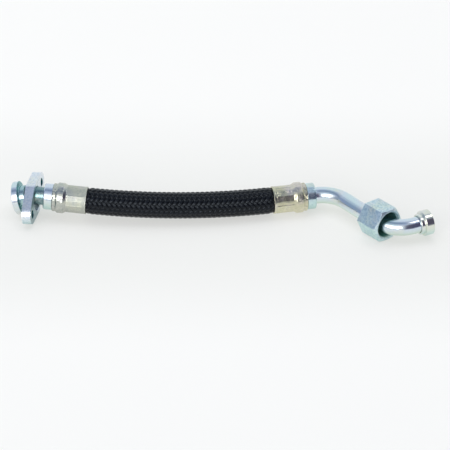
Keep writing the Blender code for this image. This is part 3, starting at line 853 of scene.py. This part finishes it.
def nut_mesh(s, place):
    """The nut as one closed skin: hexagon, chamfer, mouth, thread and rear."""
    sixth = math.pi / 3
    corner_steps, side_steps, chamfer_steps, thread_steps = 3, 21, 16, 9
    apothem = s.across_flats / 2
    corner = apothem / math.cos(sixth / 2)
    inset = s.corner_round / math.cos(sixth / 2)

    def on_corner(turn, swing):
        """A point on the round of the corner at turn, where the round faces swing."""
        centre = Vector((math.cos(turn), math.sin(turn))) * (corner - inset)
        return centre + Vector((math.cos(swing), math.sin(swing))) * s.corner_round

    outline = []
    for k in range(6):
        turn = (k + 0.5) * sixth
        for j in range(-corner_steps, corner_steps + 1):
            outline.append(on_corner(turn, turn + sixth / 2 * j / corner_steps))
        first, last = outline[-1], on_corner(turn + sixth, turn + sixth / 2)
        outline += [first.lerp(last, j / side_steps) for j in range(1, side_steps)]

    top, low = s.nut_length, s.edge
    face, mouth, cavity, bore = s.face / 2, s.mouth / 2, s.cavity / 2, s.rear_bore / 2
    slope = math.tan(math.radians(s.chamfer_angle))
    drop = (corner - face) * slope
    run_start = top - (mouth - cavity) - s.thread_run

    def around(height, reach):
        """A ring under the outline; reach gives the radius at each of its points."""
        return [Vector((*(spot.normalized() * reach(spot)), height)) for spot in outline]

    def outer(height, shrink=0.0):
        limit = face + (top - height) / slope
        return around(height, lambda spot: min(spot.length, limit) - shrink)

    def inner(height, radius):
        return around(height, lambda spot: radius)

    def thread(height):
        """The thread's groove, which deepens over its first turn, or the mouth's chamfer."""
        ease = min((height - run_start) / s.thread_pitch, 1.0)
        chamfer = mouth - (top - height)

        def reach(spot):
            turn = math.atan2(spot.y, spot.x)
            phase = (height / s.thread_pitch - turn / (2 * math.pi)) % 1.0
            cut = min(1.0, max(0.0, 1.35 - abs(phase - 0.5) * 3.1))
            return max(cavity + s.thread_depth * ease * cut, chamfer)

        return around(height, reach)

    rings = [inner(top, mouth + (face - mouth) * (0.02 + k * 0.235)) for k in range(5)]
    rings.append(outer(top - 0.00004))
    rings += [outer(top - drop * k / chamfer_steps) for k in range(1, chamfer_steps + 1)]
    rings += [outer(height) for height in reversed(spaced(low * 1.6, top - drop * 1.1, 0.004))]
    rings += [outer(low), outer(low * 0.3, low * 0.3), outer(0.0, low)]
    for height, radius in (
        (0.0, (apothem + bore) / 2), (0.0, bore + low * 1.6), (0.0, bore + low),
        (low * 0.3, bore + low * 0.3), (low, bore), (s.rear_length * 0.95, bore),
        (s.rear_length, bore), (s.rear_length + cavity - bore, cavity), (run_start, cavity),
    ):
        rings.append(inner(height, radius))
    heights = spaced(run_start, top - 0.00002, s.thread_pitch / thread_steps)
    rings += [thread(height) for height in heights[1:]]
    return skin("union nut", [[place @ spot for spot in each] for each in rings], rings)


# Braid strands by Geometry Nodes

def braid_tree(inputs):
    """Strands that run round the hose both ways, over two and under two, along its centreline."""
    tree = bpy.data.node_groups.new("braid strands", "GeometryNodeTree")
    g = Nodes(tree)
    sockets = tree.interface
    sockets.new_socket("Centreline", in_out="INPUT", socket_type="NodeSocketGeometry")
    for name, value in inputs.items():
        kind = {float: "Float", int: "Int"}.get(type(value), "Material")
        sockets.new_socket(name, in_out="INPUT", socket_type="NodeSocket" + kind)
    sockets.new_socket("Geometry", in_out="OUTPUT", socket_type="NodeSocketGeometry")
    given = g.node("NodeGroupInput")

    def number(name):
        return Field(g, given[name])

    def stored(shape, name, value, kind="FLOAT", domain="INSTANCE"):
        return g.node(
            "GeometryNodeStoreNamedAttribute", {"data_type": kind, "domain": domain},
            {"Geometry": shape, "Name": name, "Value": value},
        )[0]

    def read(name):
        return Field(g, g.node("GeometryNodeInputNamedAttribute", None, {"Name": name})[0])

    def vector(operation, *values):
        return g.node("VectorMath", {"operation": operation}, dict(enumerate(values)))[0]

    def scaled(first, factor):
        return g.node("VectorMath", {"operation": "SCALE"}, {0: first, "Scale": factor})[0]

    joined = tree.nodes.new("GeometryNodeJoinGeometry")
    for way in (1.0, -1.0):
        rod = g.node(
            "GeometryNodeMeshCylinder", {"fill_type": "TRIANGLE_FAN"},
            {"Vertices": given["Sides"], "Side Segments": given["Steps"], "Radius": 1.0,
             "Depth": 1.0},
        )
        spots = g.node("GeometryNodePoints", None, {"Count": given["Strands"]})
        rods = g.node(
            "GeometryNodeInstanceOnPoints", None, {"Points": spots[0], "Instance": rod["Mesh"]}
        )
        rods = stored(rods[0], "strand", g.node("GeometryNodeInputIndex")[0])
        tree.links.new(stored(rods, "way", way), joined.inputs[0])
    real = g.node("GeometryNodeRealizeInstances", None, {"Geometry": joined.outputs[0]})
    way, strand = read("way"), read("strand")
    x, y, z = g.split(g.node("GeometryNodeInputPosition")[0])
    run, strands = number("Run"), number("Strands")
    station = (z + 0.5) * run

    spacing = 2 * math.pi / strands
    rate = spacing / number("Pitch")
    turn = strand * spacing + station * rate * way
    wave = ((turn - number("Band Angle")) * (strands * 0.5)).cosine() * way

    from_end = station.at_most(run - station)
    free = ((from_end - number("Tuck")) / number("Ramp")).at_most(1.0).at_least(0.0)
    swell = (free * (math.pi / 2)).sine()
    crimp = number("Crimped Radius")
    middle = crimp + swell * (number("Radius") - crimp)
    lowest = middle - (way * 0.00003 + 0.00012) + y * 0.00012
    middle = middle + wave * (number("Rise") * (swell * 0.7 + 0.3))

    bent = g.node(
        "GeometryNodeSampleCurve", {"mode": "LENGTH", "use_all_curves": False},
        {"Curves": given["Centreline"], "Length": station},
    )
    axis = vector("NORMALIZE", bent["Tangent"])
    side = vector("NORMALIZE", vector("CROSS_PRODUCT", axis, tuple(UP)))
    top = vector("CROSS_PRODUCT", side, axis)
    near = vector("CROSS_PRODUCT", axis, top)
    radial = vector("ADD", scaled(top, turn.cosine()), scaled(near, turn.sine()))
    round_axis = vector("CROSS_PRODUCT", axis, radial)
    lean = middle * rate * way
    path = vector("NORMALIZE", vector("ADD", axis, scaled(round_axis, lean)))
    breadth = vector("CROSS_PRODUCT", radial, path)

    sideways = x * (number("Strand Width") * 0.5)
    upward = y.at_least(y * 0.2) * (number("Strand Height") * 0.5)
    sag = sideways * sideways / (middle * 2.5)
    height = (middle + upward - sag).at_least(lowest)
    offset = vector("ADD", scaled(radial, height), scaled(breadth, sideways))
    spot = vector("ADD", bent["Position"], offset)

    own = g.node("CombineXYZ", None, {0: sideways, 1: wave * y, 2: station})[0]
    kept = stored(real[0], "piece_frame", own, "FLOAT_VECTOR", "POINT")
    moved = g.node("GeometryNodeSetPosition", None, {"Geometry": kept, "Position": spot})
    solid = g.node("GeometryNodeRealizeInstances", None, {"Geometry": moved[0]})
    done = g.node(
        "GeometryNodeSetMaterial", None, {"Geometry": solid[0], "Material": given["Finish"]}
    )
    tree.links.new(done[0], tree.nodes.new("NodeGroupOutput").inputs[0])
    return tree


def strands_mesh(scene, material):
    """The braid's strands as one plain mesh, grown along the hose's centreline."""
    route, stations = full_route(scene)
    h = scene.line_hose
    first, last = stations["left_mouth"] - h.tuck, stations["right_mouth"] + h.tuck
    points = [route.at(station)[0] for station in spaced(first, last, 0.002)]
    made = polyline("braid strands", points)
    values = {
        "Run": last - first,
        "Strands": h.strands,
        "Pitch": h.pitch,
        "Radius": h.braid_diameter / 2 - h.rise - h.strand_height / 2,
        "Crimped Radius": h.crimped_diameter / 2 - h.strand_height / 2 - h.rise * 0.3,
        "Tuck": h.tuck,
        "Ramp": h.ramp,
        "Rise": h.rise,
        "Strand Width": h.strand_width,
        "Strand Height": h.strand_height,
        "Band Angle": math.radians(h.band_angle),
        "Steps": 240,
        "Sides": 10,
        "Finish": material,
    }
    grow = made.modifiers.new("Strands", "NODES")
    grow.node_group = braid_tree(values)
    for item in grow.node_group.interface.items_tree:
        if item.name in values:
            grow[item.identifier] = values[item.name]
    mesh = evaluated_mesh(made)
    if not mesh.polygons:
        raise RuntimeError("the braid's strands came out empty")
    return outward(mesh)


# Operators

class LineOperator:
    """What every operator here shares."""

    bl_options = {"REGISTER", "UNDO"}


def given(context, *names):
    """The route, its stations and the named groups of settings."""
    scene = context.scene
    return (*full_route(scene), *(getattr(scene, "line_" + name) for name in names))


def tube_mesh(name, route, first, last, diameter, wall):
    """A tube between two sockets, clear of the floor of each."""
    stations = spaced(first + CLEAR, last - CLEAR, 0.0012)
    radius = diameter / 2
    return sweep(name, route, stations, lambda _: radius, lambda _: radius - wall, 96)


class LINE_OT_head(LineOperator, Operator):
    """Builds the sealing head"""

    bl_idname = "line.head"
    bl_label = "Sealing head"

    def execute(self, context):
        route, _, s, f = given(context, "head", "finish")
        radius, hub, neck = s.diameter / 2, s.hub_diameter / 2, s.neck_diameter / 2
        end = s.disc + s.hub
        floor = end - s.socket
        bore, socket = neck - s.neck_wall, neck + CLEAR
        profile = rounded(
            [
                (hub, end, s.edge * 1.4), (hub, s.disc, 0.0006), (radius, s.disc, s.edge),
                (radius, s.chamfer, 0.0004), (radius - s.chamfer, 0.0, 0.0003),
                (bore, 0.0, 0.0004), (bore, floor), (socket, floor), (socket, end, 0.0002),
            ]
        )

        # Painted shade behind the disc: its back face takes the shade colour fully, the hub a
        # little over half.
        def painted_recess_shade(x, y, z):
            behind = z.between(s.disc - 0.0005, s.disc)
            hub_share = (1.0 - from_axis(x, y).between(hub, hub + 0.0005)) * 0.45
            return [(behind * (1.0 - hub_share), f.teal)]

        material = zinc(
            "blue zinc on the head", f, ("ice", "lilac", "clear"), 1.0, 0.4, 0.13,
            turned=0.5, patches=painted_recess_shade,
        )
        mesh = lathe("sealing head", profile, route.frame(0.0), 144)
        piece("sealing_head", mesh, material, "line", "flange_head", "head zinc")
        return {"FINISHED"}


class LINE_OT_neck(LineOperator, Operator):
    """Builds the neck tube between the head and the left nipple"""

    bl_idname = "line.neck"
    bl_label = "Neck tube"

    def execute(self, context):
        route, stations, s, f, fitting = given(context, "head", "finish", "fitting")
        first = s.disc + s.hub - s.socket
        last = stations["left_collar"] + fitting.socket
        mesh = tube_mesh("neck tube", route, first, last, s.neck_diameter, s.neck_wall)
        # The neck's plate is darkened as painted shade for the gap between the flange and the
        # collar.
        colours = ("dull", "teal", "dull")
        material = zinc("dull zinc on the neck", f, colours, 2.0, 0.6, 0.2, mottle=0.5)
        piece("neck_pipe", mesh, material, "line", "neck_tube", "neck zinc")
        return {"FINISHED"}


class LINE_OT_flange(LineOperator, Operator):
    """Builds the loose two-bolt flange"""

    bl_idname = "line.flange"
    bl_label = "Two-bolt flange"

    def execute(self, context):
        _, _, s, f = given(context, "flange", "finish")
        hole, top = s.bolt_hole / 2, s.thickness / 2

        # Painted shade inside the bolt holes, and painted reflection of shade on the near half of
        # the right face.
        def painted_shade_patches(x, y, z):
            side = abs(y) - s.bolt_pitch / 2
            inside = 1.0 - from_axis(x, side).between(hole - 0.0001, hole + 0.0004)
            right_face = z.between(top - 0.0003, top - 0.0001)
            near_half_shade = y.between(-0.004, 0.012) * 0.8
            return [(right_face * near_half_shade, f.dull), (inside, f.teal)]

        material = zinc(
            "blue zinc on the flange", f, ("sky", "lilac", "aqua"), 3.0, 0.35, 0.28,
            mottle=0.45, patches=painted_shade_patches,
        )
        mesh = flange_mesh(s, frame_at(s.centre, s.up, s.axis))
        piece(
            "bolt_flange", mesh, material, "flange", "mounting_flange", "flange zinc", 35.0, True
        )
        return {"FINISHED"}


class LINE_OT_nipples(LineOperator, Operator):
    """Builds the two hose nipples"""

    bl_idname = "line.nipples"
    bl_label = "Hose nipples"

    def execute(self, context):
        route, stations, s, f, head, tube = given(context, "fitting", "finish", "head", "tube")
        for side, place, tube_diameter, tint, seed, tint_share, roughness, mottle in (
            ("left", left_end(route, stations), head.neck_diameter, "lilac", 5.0, 0.5, 0.14, 0.0),
            ("right", right_end(route, stations), tube.diameter, "aqua", 6.0, 0.45, 0.15, 0.3),
        ):
            material = zinc(
                f"blue zinc on the {side} nipple", f, ("ice", tint, "aqua"), seed, tint_share,
                roughness, mottle=mottle, turned=0.3,
            )
            profile = nipple_profile(s, tube_diameter / 2 + s.gap)
            mesh = lathe(side + " nipple", profile, place, 112)
            node, slot = side + "_hose_nipple", side + " nipple zinc"
            piece(side + "_nipple", mesh, material, "line", node, slot)
        return {"FINISHED"}


class LINE_OT_ferrules(LineOperator, Operator):
    """Builds the two crimped ferrules"""

    bl_idname = "line.ferrules"
    bl_label = "Crimped ferrules"

    def execute(self, context):
        route, stations, s, f = given(context, "fitting", "finish")
        past_collar = Matrix.Translation((0, 0, s.collar))
        crimp_start = s.rim + s.bead_rise + s.bead + s.bead_ramp
        left_zinc = zinc(
            "grey zinc on the left ferrule", f, ("grey", "straw", "grey"), 8.0, 0.3, 0.2,
            mottle=0.3, drawn=0.9, rough_from=(crimp_start, 0.34),
        )
        right_zinc = zinc(
            "yellow zinc on the right ferrule", f, ("olive", "rose", "straw"), 9.0, 0.5, 0.2,
            mottle=0.2, drawn=0.7,
        )
        profile = ferrule_profile(s)
        for side, place, material, seed in (
            ("left", left_end(route, stations), left_zinc, 0.0),
            ("right", right_end(route, stations), right_zinc, 0.4),
        ):
            shift = crimped(s, seed)
            mesh = lathe(side + " crimp", profile, place @ past_collar, 208, shift)
            node, slot = side + "_ferrule", side + " ferrule zinc"
            piece(side + "_crimp", mesh, material, "line", node, slot, 60.0)
        return {"FINISHED"}


def left_end(route, stations):
    return route.frame(stations["left_collar"])


def right_end(route, stations):
    """The right nipple's frame, which looks back along the route."""
    return route.frame(stations["right_collar_end"]) @ Matrix.Rotation(math.pi, 4, "X")


class LINE_OT_hose(LineOperator, Operator):
    """Builds the rubber liner and the core under the braid"""

    bl_idname = "line.hose"
    bl_label = "Hose liner and core"

    def execute(self, context):
        route, stations, s, f = given(context, "hose", "finish")
        left, right = stations["left_mouth"], stations["right_mouth"]
        liner, core = s.liner_diameter / 2, s.inner_diameter / 2
        braid = s.braid_diameter / 2 - core
        tight_liner = s.crimped_diameter / 2 - braid - CLEAR
        tight_core = s.crimped_diameter / 2 - 0.0001
        below_strands = 0.00055

        def inside(station):
            return min(station - left, right - station)

        def swell(station, tight, free):
            """From the tight radius in a ferrule to the free one."""
            eased = math.sin(rise(inside(station), 0.0, s.ramp) * math.pi / 2)
            return tight + eased * (free - tight)

        def core_outside(station):
            """Drops below the strands where they begin."""
            dropped = below_strands * rise(inside(station) + s.tuck + 0.001, 0.0, 0.001)
            return swell(station, tight_core, core + CLEAR + below_strands) - dropped

        spots = spaced(left - s.insertion, right + s.insertion, 0.003)
        mesh = sweep(
            "hose liner", route, spots,
            lambda t: swell(t, tight_liner, liner), lambda t: s.liner_bore / 2,
        )
        material = rubber_finish("black rubber of the liner", f, 1.0)
        piece("rubber_liner", mesh, material, "line", "hose_liner", "liner rubber")
        mesh = sweep(
            "braid core", route, spots,
            core_outside, lambda t: swell(t, tight_liner + CLEAR, core),
        )
        material = rubber_finish("black core of the braid", f, 2.0)
        piece("braid_core", mesh, material, "line", "hose_braid", "braid")
        return {"FINISHED"}


class LINE_OT_braid(LineOperator, Operator):
    """Grows the braid's strands over the hose"""

    bl_idname = "line.braid"
    bl_label = "Braid strands"

    def execute(self, context):
        material = yarn_finish(context.scene.line_finish)
        mesh = strands_mesh(context.scene, material)
        piece("braid_strands", mesh, material, "line", "hose_braid", "braid", 80.0)
        return {"FINISHED"}


class LINE_OT_tube(LineOperator, Operator):
    """Builds the bent tube"""

    bl_idname = "line.tube"
    bl_label = "Bent tube"

    def execute(self, context):
        route, stations, s, f, fitting = given(context, "tube", "finish", "fitting")
        first = stations["right_collar_end"] - fitting.socket
        last = stations["end_nipple"] + s.socket
        mesh = tube_mesh("bent tube", route, first, last, s.diameter, s.wall)
        material = zinc("blue zinc on the tube", f, ("ice", "lilac", "lime"), 11.0, 0.45, 0.15)
        piece("return_tube", mesh, material, "line", "bent_tube", "tube zinc")
        return {"FINISHED"}


class LINE_OT_nut(LineOperator, Operator):
    """Builds the loose union nut"""

    bl_idname = "line.nut"
    bl_label = "Union nut"

    def execute(self, context):
        _, _, s, f = given(context, "nut", "finish")
        wall = s.mouth / 2

        # Painted shade deep inside the nut's mouth.
        def painted_cavity_shade(x, y, z):
            deep = (s.nut_length - z).between(0.0006, 0.004)
            inside = 1.0 - from_axis(x, y).between(wall - 0.0004, wall)
            return [(inside * deep, f.dark)]

        material = zinc(
            "blue zinc on the nut", f, ("steel_blue", "lilac", "aqua"), 13.0, 0.3, 0.32,
            mottle=0.6, patches=painted_cavity_shade,
        )
        mesh = nut_mesh(s, frame_at(s.rear, s.up, s.axis))
        piece("hex_nut", mesh, material, "nut", "union_nut", "nut zinc", 50.0)
        return {"FINISHED"}


class LINE_OT_end(LineOperator, Operator):
    """Builds the end nipple"""

    bl_idname = "line.end"
    bl_label = "End nipple"

    def execute(self, context):
        route, stations, s, f = given(context, "tube", "finish")
        band, collar, tube = s.band_diameter / 2, s.collar_diameter / 2, s.diameter / 2
        end = s.band + s.collar
        bore, socket = tube - s.wall, tube + CLEAR
        profile = rounded(
            [
                (bore, end, 0.0004), (collar, end, s.edge), (collar, s.band + s.shoulder, 0.0006),
                (collar - s.shoulder, s.band, 0.0004), (band, s.band, 0.0005),
                (band, 0.0, s.band_round * 1.2), (socket, 0.0, 0.0002), (socket, s.socket),
                (bore, s.socket),
            ],
            5,
        )
        mesh = lathe("end nipple", profile, route.frame(stations["end_nipple"]))
        material = zinc(
            "clear zinc on the end nipple", f, ("clear", "straw", "aqua"), 15.0, 0.3, 0.14,
            turned=0.4,
        )
        piece("end_fitting", mesh, material, "line", "end_nipple", "end zinc")
        return {"FINISHED"}


class LINE_OT_stage(LineOperator, Operator):
    """Lays the floor, sets the lamp and the camera"""

    bl_idname = "line.stage"
    bl_label = "Floor, lamp and camera"

    def execute(self, context):
        scene = context.scene
        s = scene.line_stage
        lay_floor(s)
        light_world(scene)
        hang_lamp(s)
        place_camera(scene, s)
        scene.view_settings.view_transform = "Standard"
        return {"FINISHED"}


def lay_floor(s):
    """A round floor, which the camera and the metal see nearly as plain white."""
    mesh = bpy.data.meshes.new("floor")
    mesh.from_pydata(ring(s.floor_radius, 0.0, 64), [], [range(64)])
    finish = Finish("pale floor", 0.0, 0.9)
    place = finish.object_place()
    cloud = finish.noise(place, 9.0)
    finish.feed("Base Color", finish.mix(cloud, s.floor_colour, times(s.floor_colour, 0.985)))
    away = abs(finish.split(place)[1]).between(s.glow_near, s.glow_far)
    white = finish.mix(away, (0.87, 0.875, 0.85), (0.985, 0.985, 0.975))
    glow = finish.node("Emission", None, {"Color": white, "Strength": 1.0})[0]
    ray = finish.node("LightPath")
    camera, glossy, through = (
        Field(finish, ray[f"Is {kind} Ray"]) for kind in ("Camera", "Glossy", "Transmission")
    )
    seen = (camera + glossy + through).at_most(1.0)
    shader = finish.node(
        "MixShader", None, {0: seen * s.floor_glow, 1: finish.shader.outputs[0], 2: glow}
    )[0]
    finish.put(finish.tree.nodes["Material Output"].inputs["Surface"], shader)
    mesh.materials.append(finish.material)
    add("floor", mesh)


def light_world(scene):
    """A pale room with a white front window, a slate ceiling and left, and a dark front right.

    Tilt runs from straight up towards the front. The camera sees the room as plain white.
    """
    world = bpy.data.worlds.new("studio")
    scene.world = world
    world.use_nodes = True
    room = Nodes(world.node_tree)
    x, y, z = room.split(room.node("TexCoord")["Generated"])
    front = 0.0 - y
    tilt = front.sum("ARCTAN2", front, z)
    window = tilt.between(0.44, 0.66) * z.between(0.10, 0.17)
    window = window * x.between(-0.84, -0.7) * (1.0 - x.between(0.02, 0.16))
    window = window * front.between(0.05, 0.2)
    middle = (1.0 - abs(x + 0.3).between(0.2, 0.4)) * (1.0 - abs(z - 0.42).between(0.08, 0.32))
    window_shade = room.mix(middle, (1.05, 1.05, 1.05), (5.4, 5.4, 5.4))
    left = (0.0 - x).between(0.74, 0.9) * (1.0 - z.between(0.62, 0.82))
    front_right = (x * 0.7 + front * 0.72).between(0.44, 0.66) * x.between(0.15, 0.29)
    skirting = (1.0 - z.between(0.05, 0.12)) * front.between(0.0, 0.4)
    softbox = (x * 0.38 + y * 0.08 + z * 0.92).between(0.982, 0.992)
    shade = (0.48, 0.51, 0.58)
    for mask, other in (
        (y.between(-0.15, 0.25), (0.80, 0.86, 0.89)),
        (1.0 - abs(tilt).between(0.38, 0.58), (0.50, 0.56, 0.68)),
        (1.0 - abs(tilt).between(0.12, 0.28), (0.25, 0.31, 0.42)),
        (left, (0.30, 0.37, 0.51)),
        (front_right, (0.09, 0.085, 0.14)),
        (skirting, (0.12, 0.16, 0.24)),
        (window, window_shade),
        (softbox, (2.6, 2.6, 2.6)),
        (room.node("LightPath")["Is Camera Ray"], (0.95, 0.955, 0.945)),
    ):
        shade = room.mix(mask, shade, other)
    room.put(world.node_tree.nodes["Background"].inputs["Color"], shade)


def hang_lamp(s):
    """A square area lamp that looks at the object; its power follows from its radiance."""
    data = bpy.data.lights.new("key lamp", "AREA")
    data.shape = "RECTANGLE"
    data.size = data.size_y = s.key_size
    data.energy = s.key_radiance * math.pi * s.key_size ** 2
    made = add("key lamp", data)
    aimed(made, s.key_place, Vector((0, 0, 0.02)) - Vector(s.key_place))
    made.visible_glossy = False
    made.visible_camera = False


def place_camera(scene, s):
    height = math.radians(s.camera_elevation)
    back = Vector((0.0, -math.cos(height), math.sin(height)))
    data = bpy.data.cameras.new("camera")
    data.lens = data.sensor_width * s.camera_distance / s.camera_width
    data.clip_start = 0.1
    data.clip_end = 100.0
    camera = add("camera", data)
    aimed(camera, Vector(s.aim) + back * s.camera_distance, -back)
    scene.camera = camera


OPERATORS = [
    LINE_OT_stage,
    LINE_OT_head,
    LINE_OT_neck,
    LINE_OT_flange,
    LINE_OT_nipples,
    LINE_OT_ferrules,
    LINE_OT_hose,
    LINE_OT_braid,
    LINE_OT_tube,
    LINE_OT_nut,
    LINE_OT_end,
]


class LINE_PT_pieces(Panel):
    """Lists the pieces and the stage of the oil line"""

    bl_idname = "LINE_PT_pieces"
    bl_label = "Turbo oil return line"
    bl_space_type = "VIEW_3D"
    bl_region_type = "UI"
    bl_category = "Oil line"

    def draw(self, context):
        for each in OPERATORS:
            self.layout.operator(each.bl_idname)
        for key in GROUPS:
            box = self.layout.box()
            settings = getattr(context.scene, key)
            for name in settings.__annotations__:
                box.prop(settings, name)


def register():
    for key, sizes in GROUPS.items():
        bpy.utils.register_class(sizes)
        setattr(bpy.types.Scene, key, PointerProperty(type=sizes))
    for each in OPERATORS:
        bpy.utils.register_class(each)
    bpy.utils.register_class(LINE_PT_pieces)


def unregister():
    bpy.utils.unregister_class(LINE_PT_pieces)
    for each in reversed(OPERATORS):
        bpy.utils.unregister_class(each)
    for key, sizes in reversed(GROUPS.items()):
        delattr(bpy.types.Scene, key)
        bpy.utils.unregister_class(sizes)


def main():
    register()
    for step in OPERATORS:
        family, action = step.bl_idname.split(".")
        getattr(getattr(bpy.ops, family), action)()
    bpy.context.view_layer.update()


if __name__ == "__main__":
    main()
